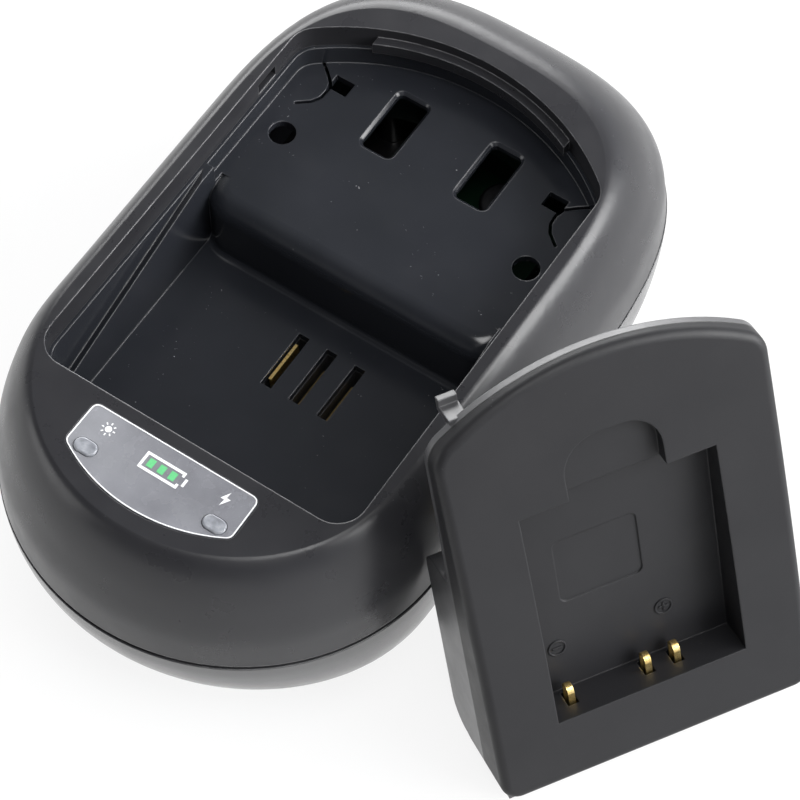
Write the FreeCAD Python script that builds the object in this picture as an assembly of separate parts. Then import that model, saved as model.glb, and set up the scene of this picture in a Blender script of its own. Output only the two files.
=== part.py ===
"""Battery charger: a domed base with an open bay, and the removable battery plate that leans on it.

Millimetres. +Z is up, +X is to the right of the status panel and +Y runs from the panel to the supply inlet.
Shapes are built with z = 0 on the surface that the feet stand on. The origin is then moved to the
centre of the whole set's footprint.
"""
import FreeCAD, Part
import math
import os

V = FreeCAD.Vector

# Base casing, plan and heights
body_width = 77.6
front_centre_y = -38.9
front_reach = 36.8
rear_centre_y = 3.2
rear_reach = 50.3
front_power = 2.0
rear_power = 3.0
foot_height = 2.2
lower_depth = 22.0
upper_height = 22.5
case_wall = 2.0
groove_width = 0.9
lip_inset = 0.9
lip_thickness = 0.9
lip_height = 2.4
lip_clearance = 0.15

# How far the casing draws in towards the deck and towards the underside
upper_side_inset = 7.6
upper_front_inset = 8.1
upper_rear_inset = 16.0
upper_power = 1.6
lower_side_inset = 7.0
lower_front_inset = 17.5
lower_rear_inset = 6.0
lower_power = 2.1

# Bay opening in the deck, set in from the deck's edge
deck_side_rim = 1.8
deck_front_rim = 17.4
deck_rear_rim = 3.2
opening_bow = 11.5
opening_front_radius = 4.9
opening_rear_radius = 5.0
skirt_thickness = 1.2
skirt_height = 5.0
catch_rib_width = 37.3
catch_rib_reach = 1.6
catch_rib_height = 2.4
catch_rib_rise = 0.4
catch_slot_setback = 9.5
catch_slot_length = 4.8
catch_slot_height = 2.4
catch_slot_rise = 0.6

# Bay tray
tray_grow = 0.4
tray_wall = 1.0
shelf_drop = 9.0
shelf_thickness = 1.5
well_length = 41.5
well_depth = 13.5
step_radius = 3.6
step_root_radius = 1.2
step_corner_radius = 6.0
step_corner_overlap = 1.5
ramp_width = 1.3
ramp_overlap = 4.1
ramp_rear_rise = 5.0
ramp_slope_deg = 15.0
ramp_cant_deg = 28.0
round_hole_inset = 5.6
round_hole_setback = 13.5
round_hole_radius = 2.3
square_hole_x = 9.2
square_hole_setback = 1.9
square_hole_width = 5.8
square_hole_length = 12.2
square_hole_radius = 1.0
square_hole_bevel = 0.5
slot_centre_x = 2.0
slot_setback = 11.3
slot_pitch = 5.5
slot_width = 2.0
slot_length = 11.2
slit_width = 0.55
corner_slit = ((2.4, 2.7), (4.8, 0.8), (6.5, -0.7), (7.0, -2.3), (6.9, -4.1), (6.0, -5.7), (4.0, -7.3))

# Status panel and its lights
window_side_margin = 23.3
window_taper = 0.1
window_gap = 2.3
window_side_length = 7.9
window_bow = 4.3
window_corner_radius = 1.4
window_thickness = 0.8
window_clearance = 0.12
window_proud = 0.1
light_inset = 3.5
light_setback = 7.3
light_length = 4.0
light_width = 2.6
light_clearance = 0.1
light_dome = 0.35

# Circuit board and what it carries
board_post_gap = 1.0
board_front_margin = 3.7
board_rear_margin = 9.5
board_thickness = 1.6
board_standoff = 4.6
standoff_radius = 2.2
standoff_inset = 2.5
standoff_front_margin = 13.5
standoff_rear_margin = 14.0
led_side = 3.2
led_height = 2.0
pipe_gap = 0.2
chip_width = 6.2
chip_length = 5.0
chip_height = 1.7
chip_setback = 20.0
coil_radius = 5.0
coil_height = 7.5
coil_flange = 1.2
coil_waist = 1.3
coil_x = -8.5
coil_setback = 42.0
can_rim = 0.7
input_capacitor_radius = 4.0
input_capacitor_height = 11.5
input_capacitor_x = 8.5
input_capacitor_setback = 17.0
output_capacitor_radius = 3.2
output_capacitor_height = 10.5
output_capacitor_x = -9.0
output_capacitor_setback = 24.0
regulator_width = 10.2
regulator_thickness = 4.6
regulator_height = 9.0
regulator_tab_height = 6.0
regulator_tab_thickness = 1.3
regulator_tab_hole = 1.8
regulator_x = 7.5
regulator_setback = 36.0

# Leaf contacts of the base
carrier_margin = 2.6
carrier_gap = 0.2
leaf_thickness = 0.5
leaf_length = 7.8
leaf_shift = 0.35
leaf_bow = 0.45
leaf_drops = (0.7, 4.2, 4.2)

# Supply inlet
jack_width = 9.0
jack_length = 13.6
jack_height = 11.0
jack_bore_radius = 3.15
jack_bore_depth = 10.5
jack_pin_radius = 1.05
jack_pin_length = 9.0
jack_window_radius = 4.4
jack_gap = 0.1

# Feet, screws, bosses and posts of the base
foot_radius = 5.2
foot_edge = 0.6
foot_pad_margin = 0.5
foot_pad_height = 9.0
foot_rear_inset = 13.3
foot_rear_margin = 22.5
foot_front_inset = 18.3
foot_front_margin = 33.7
boss_radius = 3.2
boss_front_gap = 4.5
boss_front_margin = 20.2
boss_rear_gap = 5.5
boss_rear_margin = 14.0
screw_radius = 1.3
screw_pilot_clearance = 0.1
screw_head_radius = 2.4
screw_head_height = 1.8
screw_bite = 9.0
screw_recess = 5.0
screw_cross_width = 0.7
screw_cross_depth = 0.8
screw_cross_margin = 0.9
post_radius = 2.5
post_inset = 7.5
post_setback = 12.7

# Battery plate, in its own frame: x across, y up from the straight edge, z out of the face
plate_clearance = 0.5
plate_length = 68.0
plate_crown = 8.5
plate_foot_radius = 3.2
plate_crown_radius = 5.0
cover_foot_thickness = 8.0
cover_crown_thickness = 2.0
cover_bulge = 1.1
cover_edge = 1.4
cover_skin = 1.6
housing_flange = 1.4
block_depth = 11.5
block_wall = 1.6
block_foot_rise = 3.2
block_foot_radius = 4.5
block_shoulder_radius = 3.4
block_fillet_radius = 4.5
pocket_width = 32.4
pocket_length = 40.6
pocket_foot_y = 12.6
pocket_floor = 0.9
pocket_wall = 1.4
scoop_width = 16.0
scoop_length = 10.0
scoop_radius = 6.0
scoop_depth = 1.5
label_width = 14.0
label_length = 12.5
label_x = -3.6
label_y = 36.5
label_radius = 1.2
label_depth = 0.25
tab_width = 11.5
tab_drop = 2.0
tab_reach = 5.0
tab_inset = 1.5
tab_radius = 1.6
tab_slot_clearance = 0.4
hook_inset = 6.0
hook_width = 3.0
hook_reach = 4.2
hook_thickness = 1.2
hook_lip = 1.2
hook_slot_clearance = 0.3
plate_yaw_deg = 57.0
plate_lean_deg = 22.0
plate_slide_y = -32.0
plate_touch = 0.2

# Battery contacts, plate board and blades
battery_contact_x = (-12.4, 0.9, 5.9)
battery_contact_width = 1.1
battery_contact_thickness = 0.35
battery_contact_proud = 3.0
battery_contact_low_z = 2.4
battery_contact_gap = 1.7
contact_slot_margin = 0.4
contact_bend_y = 6.5
plate_board_left_gap = 0.7
plate_board_right_gap = 2.7
plate_board_gap = 0.4
plate_board_ledge = 0.8
plate_board_length = 31.0
plate_board_thickness = 1.2
plate_board_depth = 5.0
blade_thickness = 0.8
blade_length = 8.0
blade_reach = 8.0
blade_tip = 1.3
blade_slot_clearance = 0.15
plate_screw_inset = 6.5
plate_screw_y = 9.0
plate_screw_radius = 1.1
plate_screw_head_radius = 2.0
plate_screw_head_height = 1.6
plate_screw_bite = 4.0
plate_boss_radius = 2.8

# How finely the curved outlines are drawn
arc_steps = 24
straight_steps = 6
upper_levels = (0.0, 0.25, 0.5, 0.7, 0.85, 0.94, 0.985, 1.0)
lower_levels = (0.0, 0.3, 0.55, 0.75, 0.88, 0.96, 1.0)
arc_middle = 1 - math.sqrt(0.5)
touch_tries = 12
tiny = 0.01

# Heights that follow from the sizes above
parting_z = foot_height + lower_depth
deck_z = parting_z + upper_height
shelf_z = deck_z - shelf_drop
well_z = shelf_z - well_depth
skirt_z = deck_z - skirt_height
case_floor_z = foot_height + case_wall
board_z = case_floor_z + board_standoff
board_top_z = board_z + board_thickness
shelf_under_z = shelf_z - shelf_thickness
well_under_z = well_z - shelf_thickness
jack_z = board_top_z + jack_height / 2
screw_seat_z = foot_height + screw_recess
screw_tip_z = parting_z + screw_bite
window_z = deck_z + window_proud - window_thickness

# Places along the base that follow from the sizes above
half_width = body_width / 2
front_y = front_centre_y - front_reach
rear_y = rear_centre_y + rear_reach
far = 4 * (body_width + rear_reach + front_reach)
opening_half_width = half_width - upper_side_inset - deck_side_rim
opening_front_y = front_y + upper_front_inset + deck_front_rim
opening_rear_y = rear_y - upper_rear_inset - deck_rear_rim
opening_corner_y = opening_rear_y - opening_bow
catch_slot_y = opening_corner_y - catch_slot_setback
step_y = opening_front_y + well_length
ramp_rear_y = step_y + ramp_overlap
well_half_width = opening_half_width + tray_grow - tray_wall - ramp_width
round_hole_x = opening_half_width - round_hole_inset
round_hole_y = opening_corner_y - round_hole_setback
square_hole_y = opening_corner_y - square_hole_setback
slot_centre_y = step_y - slot_setback
slot_xs = [slot_centre_x + i * slot_pitch for i in (-1, 0, 1)]
window_half_width_low = half_width - window_side_margin
window_half_width_top = window_half_width_low - window_taper
window_top_y = opening_front_y - window_gap
window_low_y = window_top_y - window_side_length
window_front_y = window_low_y - window_bow
light_x = window_half_width_low - light_inset
light_y = window_top_y - light_setback

# Places on the circuit board and round it
post_x = well_half_width - post_inset
post_y = step_y + post_setback
board_half_width = post_x - post_radius - board_post_gap
board_front_y = light_y - board_front_margin
board_rear_y = rear_y - board_rear_margin
standoff_x = board_half_width - standoff_inset
boss_front_x = board_half_width + boss_front_gap
boss_rear_x = board_half_width + boss_rear_gap
bosses_right = [(boss_front_x, front_y + boss_front_margin), (boss_rear_x, rear_y - boss_rear_margin)]
standoffs_right = [(standoff_x, board_front_y + standoff_front_margin),
                   (standoff_x, board_rear_y - standoff_rear_margin)]
feet_right = {"front": (half_width - foot_front_inset, front_y + foot_front_margin),
              "rear": (half_width - foot_rear_inset, rear_y - foot_rear_margin)}
chip_y = slot_centre_y - chip_setback
coil_y = board_rear_y - coil_setback
input_capacitor_y = board_rear_y - input_capacitor_setback
output_capacitor_y = board_rear_y - output_capacitor_setback
regulator_y = board_rear_y - regulator_setback
lights = {"status": -light_x, "charge": light_x}

# Places on the battery plate, whose block drops into the well between the ramps
plate_half = well_half_width - plate_clearance
plate_top = plate_length + plate_crown
plate_bow = (plate_half ** 2 + plate_crown ** 2) / (2 * plate_crown)
plate_seat_y = opening_front_y - tray_grow + tray_wall + plate_clearance
block_height = step_y - plate_clearance - plate_seat_y
pocket_top_y = pocket_foot_y + pocket_length
board_back = -plate_board_depth
room_foot_y = block_foot_rise + block_wall
room_deep_y = room_foot_y + block_foot_radius
room_top_y = block_height - block_shoulder_radius - block_wall
plate_screw_x = plate_half - plate_screw_inset
plate_screw_xs = (-plate_screw_x, plate_screw_x)
plate_board_left = plate_board_left_gap + plate_boss_radius - plate_screw_x
plate_board_right = plate_screw_x - plate_boss_radius - plate_board_right_gap
plate_board_foot_y = room_foot_y + plate_board_gap
plate_board_top_y = min(plate_board_foot_y + plate_board_length, room_top_y - plate_board_gap)
plate_seat_z = -block_depth + plate_screw_head_height
blade_y = slot_centre_y - plate_seat_y
tab_outer_x = plate_half - tab_inset
hook_x = plate_half - hook_inset
hook_y = plate_top - plate_bow + math.sqrt(plate_bow ** 2 - hook_x ** 2)


def box(x0, x1, y0, y1, z0, z1):
    return Part.makeBox(x1 - x0, y1 - y0, z1 - z0, V(x0, y0, z0))


def rod(radius, height, x, y, z):
    return Part.makeCylinder(radius, height, V(x, y, z))


def mirrored(places):
    """The same places on the left and on the right."""
    return [(side * x, y) for x, y in places for side in (-1, 1)]


def fuse(shapes):
    first, *rest = shapes
    return first.multiFuse(rest).removeSplitter() if rest else first


def vertical_edges(solid, keep):
    """Edges along z whose middle passes the test."""
    found = []
    for edge in solid.Edges:
        low, high = edge.BoundBox.ZMin, edge.BoundBox.ZMax
        upright = edge.BoundBox.XLength < tiny and edge.BoundBox.YLength < tiny
        if upright and high - low > tiny and keep(edge.CenterOfMass):
            found.append(edge)
    return found


def side_prism(edges, x0, x1):
    """Prism along x on a closed loop of edges drawn in the plane x = 0."""
    face = Part.Face(Part.Wire(edges))
    face.translate(V(x0, 0, 0))
    return face.extrude(V(x1 - x0, 0, 0))


def line(y0, z0, y1, z1):
    return Part.LineSegment(V(0, y0, z0), V(0, y1, z1)).toShape()


def arc(a, b, c):
    return Part.Arc(V(0, *a), V(0, *b), V(0, *c)).toShape()


def quarter(centre, radius, start_deg, end_deg):
    """Arc in the plane x = 0, with angles measured from +y towards +z."""
    def at(degrees):
        turn = math.radians(degrees)
        return (centre[0] + radius * math.cos(turn), centre[1] + radius * math.sin(turn))
    return arc(at(start_deg), at((start_deg + end_deg) / 2), at(end_deg))


def plan_points(z, side, front, rear):
    """Points round the plan outline: a rounded front, straight sides and a squarer rear."""
    points = []

    def half(centre_y, reach, power, start):
        for i in range(arc_steps + 1):
            turn = start + math.pi * i / arc_steps
            c, s = math.cos(turn), math.sin(turn)
            r = (abs(c) ** power + abs(s) ** power) ** (-1 / power)
            points.append(V(side * c * r, centre_y + reach * s * r, z))

    def straight(x, y0, y1):
        for i in range(1, straight_steps):
            points.append(V(x, y0 + (y1 - y0) * i / straight_steps, z))

    half(rear_centre_y, rear, rear_power, 0)
    straight(-side, rear_centre_y, front_centre_y)
    half(front_centre_y, front, front_power, math.pi)
    straight(side, front_centre_y, rear_centre_y)
    return points


def plan_knots():
    """Distance round the parting outline at each point, shared by every outline."""
    points = plan_points(0, half_width, front_reach, rear_reach)
    knots = [0.0]
    for here, there in zip(points, points[1:] + points[:1]):
        knots.append(knots[-1] + here.distanceToPoint(there))
    return knots


def plan_wire(z, side, front, rear):
    curve = Part.BSplineCurve()
    curve.interpolate(Points=plan_points(z, side, front, rear), PeriodicFlag=True, Parameters=plan_knots())
    return Part.Wire(curve.toShape())


def draw_in(share, power):
    """How much of the inset is used at a share of the height."""
    return 1 - (1 - share ** power) ** (1 / power)


def upper_body(inset, z0, z1):
    """Solid dome from the parting plane to the deck, offset inwards."""
    wires = []
    for share in upper_levels:
        used = draw_in(share, upper_power)
        side = half_width - inset - upper_side_inset * used
        front = front_reach - inset - upper_front_inset * used
        rear = rear_reach - inset - upper_rear_inset * used
        wires.append(plan_wire(z0 + (z1 - z0) * share, side, front, rear))
    return Part.makeLoft(wires, True, False)


def lower_body(inset, z0, z1):
    """Solid dish from the parting plane down, offset inwards."""
    wires = []
    for share in lower_levels:
        used = draw_in(share, lower_power)
        side = half_width - inset - lower_side_inset * used
        front = front_reach - inset - lower_front_inset * used
        rear = rear_reach - inset - lower_rear_inset * used
        wires.append(plan_wire(z0 + (z1 - z0) * share, side, front, rear))
    return Part.makeLoft(wires, True, False)


def straight_body(inset, z0, z1):
    """Upright prism on the parting outline, offset inwards."""
    wire = plan_wire(z0, half_width - inset, front_reach - inset, rear_reach - inset)
    return Part.Face(wire).extrude(V(0, 0, z1 - z0))


def bowed_prism(half, foot_y, side_y, crown_y, foot_radius_, crown_radius_, grow, z0, z1):
    """Prism with a straight foot, parallel sides and a bowed far end, all offset by grow."""
    sagitta = crown_y - side_y
    bow = (half ** 2 + sagitta ** 2) / (2 * sagitta)
    centre_y = crown_y - bow
    x, foot, bow = half + grow, foot_y - grow, bow + grow
    corner = centre_y + math.sqrt(bow ** 2 - x ** 2)
    a, b = V(-x, foot, z0), V(x, foot, z0)
    c, d = V(x, corner, z0), V(-x, corner, z0)
    edges = [Part.LineSegment(a, b).toShape(), Part.LineSegment(b, c).toShape()]
    edges.append(Part.Arc(c, V(0, centre_y + bow, z0), d).toShape())
    edges.append(Part.LineSegment(d, a).toShape())
    solid = Part.Face(Part.Wire(edges)).extrude(V(0, 0, z1 - z0))
    middle = (foot_y + side_y) / 2
    foot_edges = vertical_edges(solid, lambda p: p.y < middle)
    solid = solid.makeFillet(foot_radius_ + grow, foot_edges)
    crown_edges = vertical_edges(solid, lambda p: p.y > middle and abs(p.x) > half / 2)
    return solid.makeFillet(crown_radius_ + grow, crown_edges)


def opening(grow, z0, z1):
    """The bay's plan as a prism, offset outwards by grow."""
    return bowed_prism(opening_half_width, opening_front_y, opening_corner_y, opening_rear_y,
                       opening_front_radius, opening_rear_radius, grow, z0, z1)


def oval(length, width, height, x, y, z):
    """Upright rod with a rounded-end section."""
    run = (length - width) / 2
    ends = [rod(width / 2, height, x + side * run, y, z) for side in (-1, 1)]
    return fuse(ends + [box(x - run, x + run, y - width / 2, y + width / 2, z, z + height)])


def window_prism(grow, z0, z1):
    """Plan of the status panel: a straight top edge and a bowed front."""
    top, low = window_half_width_top + grow, window_half_width_low + grow
    top_y, low_y = window_top_y + grow, window_low_y
    a, b = V(-top, top_y, z0), V(-low, low_y, z0)
    c, d = V(low, low_y, z0), V(top, top_y, z0)
    edges = [Part.LineSegment(a, b).toShape()]
    edges.append(Part.Arc(b, V(0, window_front_y - grow, z0), c).toShape())
    edges += [Part.LineSegment(c, d).toShape(), Part.LineSegment(d, a).toShape()]
    solid = Part.Face(Part.Wire(edges)).extrude(V(0, 0, z1 - z0))
    return solid.makeFillet(window_corner_radius + grow, vertical_edges(solid, lambda p: True))


bosses = mirrored(bosses_right)
posts = mirrored([(post_x, post_y)])
standoffs = mirrored(standoffs_right)
feet = {}
for end, (x, y) in feet_right.items():
    feet["foot_" + end + "_left"] = (-x, y)
    feet["foot_" + end + "_right"] = (x, y)


def light_holes():
    """Openings for the two lights."""
    length, width = light_length + 2 * light_clearance, light_width + 2 * light_clearance
    return [oval(length, width, far, x, light_y, parting_z) for x in lights.values()]


def tab_slots():
    """Slots in the front wall of the bay for the plate's two foot tabs."""
    spare = tab_slot_clearance
    y0 = plate_seat_y - tab_drop - spare
    z0, z1 = shelf_z - spare, shelf_z + housing_flange + tab_reach + spare
    inner, outer = tab_outer_x - tab_width - spare, tab_outer_x + spare
    return [box(inner, outer, y0, plate_seat_y, z0, z1), box(-outer, -inner, y0, plate_seat_y, z0, z1)]


def boss_columns():
    return fuse([rod(boss_radius, far, x, y, 0) for x, y in bosses])


def top_shell():
    rim_z = parting_z + groove_width / 2
    skirt = opening(skirt_thickness, skirt_z, far)
    void = upper_body(case_wall, parting_z - tiny, deck_z - case_wall).cut(fuse([skirt, boss_columns()]))
    shell = upper_body(0, parting_z, deck_z).cut(void)
    shell = shell.cut(opening(0, skirt_z - tiny, far))
    rib_z = skirt_z + catch_rib_rise
    rib = opening(skirt_thickness / 2, rib_z, rib_z + catch_rib_height).cut(
        opening(-catch_rib_reach, rib_z - tiny, rib_z + catch_rib_height + tiny))
    half_rib = catch_rib_width / 2
    shell = shell.fuse(rib.common(box(-half_rib, half_rib, opening_corner_y, far, 0, far)))
    gap_room = straight_body(-case_wall, 0, rim_z)
    rebate = straight_body(lip_inset, rim_z - tiny, parting_z + lip_height + lip_clearance)
    slot_z = skirt_z + catch_slot_rise
    reach = opening_half_width + skirt_thickness + tiny
    catch = box(-reach, reach, catch_slot_y - catch_slot_length / 2, catch_slot_y + catch_slot_length / 2,
                slot_z, slot_z + catch_slot_height)
    shell = shell.cut(fuse([gap_room, rebate]).cut(boss_columns()))
    cuts = [catch, window_prism(window_clearance, window_z, far)] + light_holes() + tab_slots()
    cuts += [rod(screw_radius - screw_pilot_clearance, screw_tip_z, x, y, 0) for x, y in bosses]
    return shell.cut(fuse(cuts))


def bottom_shell():
    rim_z = parting_z - groove_width / 2
    outer = lower_body(0, parting_z, foot_height)
    pads = [rod(foot_radius + foot_pad_margin, foot_pad_height, x, y, foot_height) for x, y in feet.values()]
    columns = [rod(post_radius, far, x, y, 0) for x, y in posts]
    columns += [rod(standoff_radius, board_z, x, y, 0) for x, y in standoffs]
    void = lower_body(case_wall, parting_z + tiny, case_floor_z).cut(fuse(columns + [boss_columns()]))
    shell = fuse([outer] + pads).cut(void)
    shell = shell.cut(straight_body(-case_wall, rim_z, far).cut(boss_columns()))
    lip = straight_body(lip_inset + lip_clearance, rim_z - case_wall, parting_z + lip_height)
    lip = lip.cut(straight_body(lip_inset + lip_clearance + lip_thickness, 0, far))
    tall = [rod(post_radius, shelf_under_z - case_floor_z, x, y, case_floor_z) for x, y in posts]
    shell = fuse([shell, lip] + tall)
    shell = shell.cut(box(-far, far, -far, far, 0, foot_height))
    shell = shell.cut(fuse([rod(screw_radius + screw_pilot_clearance, far, x, y, 0) for x, y in bosses]))
    head_room = screw_head_radius + screw_pilot_clearance
    shell = shell.cut(fuse([rod(head_room, screw_seat_z, x, y, 0) for x, y in bosses]))
    return shell.cut(Part.makeCylinder(jack_window_radius, far, V(0, board_rear_y, jack_z), V(0, 1, 0)))


def bay_profile(rear):
    """Side view of the bay's floor: well, rounded step and shelf as far as rear, open at the top."""
    front = opening_front_y - far
    root, nose = step_root_radius, step_radius
    edges = [line(front, well_z, step_y - root, well_z)]
    edges.append(quarter((step_y - root, well_z + root), root, -90, 0))
    edges.append(line(step_y, well_z + root, step_y, shelf_z - nose))
    edges.append(quarter((step_y + nose, shelf_z - nose), nose, 180, 90))
    edges.append(line(step_y + nose, shelf_z, rear, shelf_z))
    edges += [line(rear, shelf_z, rear, far), line(rear, far, front, far), line(front, far, front, well_z)]
    return edges


def bay_cut():
    """Space of the well and over its step, whose two corners sweep back in plan."""
    axis_x = well_half_width - step_corner_radius + step_corner_overlap
    axis_y = step_y + step_corner_radius
    pieces = [side_prism(bay_profile(far), -axis_x, axis_x)]
    for side in (-1, 1):
        face = Part.Face(Part.Wire(bay_profile(axis_y)))
        face.translate(V(side * axis_x, 0, 0))
        sweep = face.revolve(V(side * axis_x, axis_y, 0), V(0, 0, 1), side * 90)
        pieces.append(sweep.common(box(-well_half_width, well_half_width, -far / 2, axis_y, 0, far / 2)))
    return fuse(pieces)


def shelf_room():
    """Hollow under the shelf, a wall's thickness inside the step and its swept corners."""
    axis_x = well_half_width - step_corner_radius + step_corner_overlap
    axis_y = step_y + step_corner_radius
    inner = step_corner_radius - tray_wall
    pieces = [box(-axis_x, axis_x, step_y + tray_wall, far, 0, shelf_under_z)]
    pieces.append(box(-far, far, axis_y, far, 0, shelf_under_z))
    pieces += [rod(inner, shelf_under_z, side * axis_x, axis_y, 0) for side in (-1, 1)]
    return fuse(pieces)


def slit(points, z0, z1):
    """Thin curved cut along a run of points."""
    pieces = []
    for (x0, y0), (x1, y1) in zip(points, points[1:]):
        length = math.hypot(x1 - x0, y1 - y0)
        piece = box(0, length, -slit_width / 2, slit_width / 2, z0, z1)
        piece.rotate(V(0, 0, 0), V(0, 0, 1), math.degrees(math.atan2(y1 - y0, x1 - x0)))
        piece.translate(V(x0, y0, 0))
        pieces += [piece, rod(slit_width / 2, z1 - z0, x1, y1, z0)]
    return fuse(pieces)


def bay_tray():
    body = opening(tray_grow, well_under_z, skirt_z)
    room = opening(tray_grow - tray_wall, well_under_z - tiny, far)
    floor_cut = bay_cut().common(room)
    shelf_cut = room.common(box(-far, far, ramp_rear_y, far, shelf_z, far))
    under = room.common(shelf_room())
    body = body.cut(fuse([floor_cut, shelf_cut])).cut(under)
    for side in (-1, 1):
        top = box(-far, far, -far, far, 0, far)
        top.rotate(V(0, 0, 0), V(0, 1, 0), side * ramp_cant_deg)
        top.rotate(V(0, 0, 0), V(1, 0, 0), ramp_slope_deg)
        top.translate(V(side * well_half_width, ramp_rear_y, shelf_z + ramp_rear_rise))
        ramp_room = room.common(box(-far, far, -far, ramp_rear_y + tiny, well_z, far))
        strip = box(min(0, side * far), max(0, side * far), -far, far, 0, far)
        body = body.cut(ramp_room.common(top).common(strip))
    cuts = [rod(round_hole_radius, far, x, round_hole_y, shelf_under_z - tiny)
            for x in (-round_hole_x, round_hole_x)]
    cuts += [square_hole(x) for x in (-square_hole_x, square_hole_x)]
    for x in slot_xs:
        cuts.append(box(x - slot_width / 2, x + slot_width / 2, slot_centre_y - slot_length / 2,
                        slot_centre_y + slot_length / 2, well_under_z - tiny, far))
    for side in (-1, 1):
        path = [(side * (opening_half_width - x), opening_corner_y + y) for x, y in corner_slit]
        cuts.append(slit(path, shelf_under_z - tiny, shelf_z + tiny))
        cuts.append(hook_slot(side * hook_x))
    return body.cut(fuse(cuts + tab_slots()))


def square_hole(x):
    """Oblong hole in the shelf with round corners and a bevelled rim."""
    half_x, half_y = square_hole_width / 2, square_hole_length / 2
    low = shelf_under_z - tiny
    hole = box(x - half_x, x + half_x, square_hole_y - half_y, square_hole_y + half_y, low, shelf_z)
    hole = hole.makeFillet(square_hole_radius, vertical_edges(hole, lambda p: True))
    grow = square_hole_bevel
    wide_x, wide_y = half_x + grow, half_y + grow
    rim = box(x - wide_x, x + wide_x, square_hole_y - wide_y, square_hole_y + wide_y, shelf_z - grow, shelf_z)
    rim = rim.makeFillet(square_hole_radius + grow, vertical_edges(rim, lambda p: True))
    rim = rim.makeChamfer(grow - tiny, [e for e in rim.Edges if e.BoundBox.ZMax < shelf_z - grow + tiny])
    return hole.fuse(rim)


def hook_slot(x):
    """Slot in the shelf that the plate's hook drops through."""
    spare = hook_slot_clearance
    half = hook_width / 2 + spare
    edge = plate_seat_y + hook_y
    return box(x - half, x + half, edge - hook_thickness - spare, edge + hook_lip + spare,
               shelf_under_z - tiny, shelf_z + tiny)


def status_window():
    panel = window_prism(0, window_z, window_z + window_thickness)
    return panel.cut(fuse(light_holes()))


def light_pipe(x):
    foot_z = board_top_z + led_height + pipe_gap
    top_z = window_z + window_thickness
    pipe = oval(light_length, light_width, top_z + light_dome - foot_z, x, light_y, foot_z)
    rim = [e for e in pipe.Edges if e.BoundBox.ZMin > top_z]
    return pipe.makeFillet(light_dome, rim)


def led(x):
    half = led_side / 2
    return box(x - half, x + half, light_y - half, light_y + half, board_top_z, board_top_z + led_height)


def circuit_board():
    board = box(-board_half_width, board_half_width, board_front_y, board_rear_y, board_z, board_top_z)
    corner = board_half_width - light_x
    return board.makeFillet(corner, vertical_edges(board, lambda p: p.y < 0))


def storage_coil():
    core = rod(coil_radius, coil_height, coil_x, coil_y, board_top_z)
    ring = rod(coil_radius + tiny, coil_height - 2 * coil_flange, coil_x, coil_y, board_top_z + coil_flange)
    waist = rod(coil_radius - coil_waist, coil_height, coil_x, coil_y, board_top_z)
    return core.cut(ring.cut(waist))


def can(radius, height, x, y):
    """Upright capacitor can with a rounded rim."""
    body = rod(radius, height, x, y, board_top_z)
    rim = [e for e in body.Edges if e.BoundBox.ZMin > board_top_z + height - tiny]
    return body.makeFillet(can_rim, rim)


def power_regulator():
    x0, x1 = regulator_x - regulator_width / 2, regulator_x + regulator_width / 2
    y0 = regulator_y - regulator_thickness / 2
    y1 = y0 + regulator_thickness
    top = board_top_z + regulator_height
    body = box(x0, x1, y0, y1, board_top_z, top)
    tab = box(x0, x1, y1 - regulator_tab_thickness, y1, top, top + regulator_tab_height)
    hole_start = V(regulator_x, y0, top + regulator_tab_height / 2)
    hole = Part.makeCylinder(regulator_tab_hole, far, hole_start, V(0, 1, 0))
    return fuse([body, tab]).cut(hole)


def controller_chip():
    return box(-chip_width / 2, chip_width / 2, chip_y - chip_length / 2, chip_y + chip_length / 2,
               board_top_z, board_top_z + chip_height)


def contact_carrier():
    x0, x1 = slot_xs[0] - slot_width / 2 - carrier_margin, slot_xs[-1] + slot_width / 2 + carrier_margin
    y0 = slot_centre_y - slot_length / 2 - carrier_margin
    y1 = slot_centre_y + slot_length / 2 + carrier_margin
    body = box(x0, x1, y0, y1, board_top_z, well_under_z - carrier_gap)
    cells = [box(x - slot_width / 2, x + slot_width / 2, slot_centre_y - slot_length / 2,
                 slot_centre_y + slot_length / 2, 0, far) for x in slot_xs]
    return body.cut(fuse(cells))


def base_contact(x, drop):
    """Sprung leaf that stands on the board and bows across its slot, its tip a drop below the well."""
    low, high = board_top_z, well_z - drop
    middle = (low + high) / 2
    left = x - slot_width / 2 + leaf_shift

    def bowed(offset):
        at = left + offset
        return Part.Arc(V(at, 0, low), V(at + leaf_bow, 0, middle), V(at, 0, high))

    near, away = bowed(0).toShape(), bowed(leaf_thickness).toShape()
    foot = Part.LineSegment(V(left, 0, low), V(left + leaf_thickness, 0, low)).toShape()
    tip = Part.LineSegment(V(left, 0, high), V(left + leaf_thickness, 0, high)).toShape()
    face = Part.Face(Part.Wire([foot, away, tip, near]))
    face.translate(V(0, slot_centre_y - leaf_length / 2, 0))
    return face.extrude(V(0, leaf_length, 0))


def jack_back_y():
    """Where the inlet's mouth meets the inside of the rear wall."""
    used = draw_in((parting_z - jack_z) / (parting_z - case_floor_z), lower_power)
    return rear_centre_y + rear_reach - case_wall - lower_rear_inset * used


def dc_jack():
    mouth = jack_back_y()
    half = jack_width / 2
    body = box(-half, half, mouth - jack_length, mouth, board_top_z, board_top_z + jack_height)
    inside = lower_body(case_wall + jack_gap, parting_z, case_floor_z)
    bore_end = V(0, mouth - jack_bore_depth, jack_z)
    bore = Part.makeCylinder(jack_bore_radius, far, bore_end, V(0, 1, 0))
    return body.common(inside).cut(bore)


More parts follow.
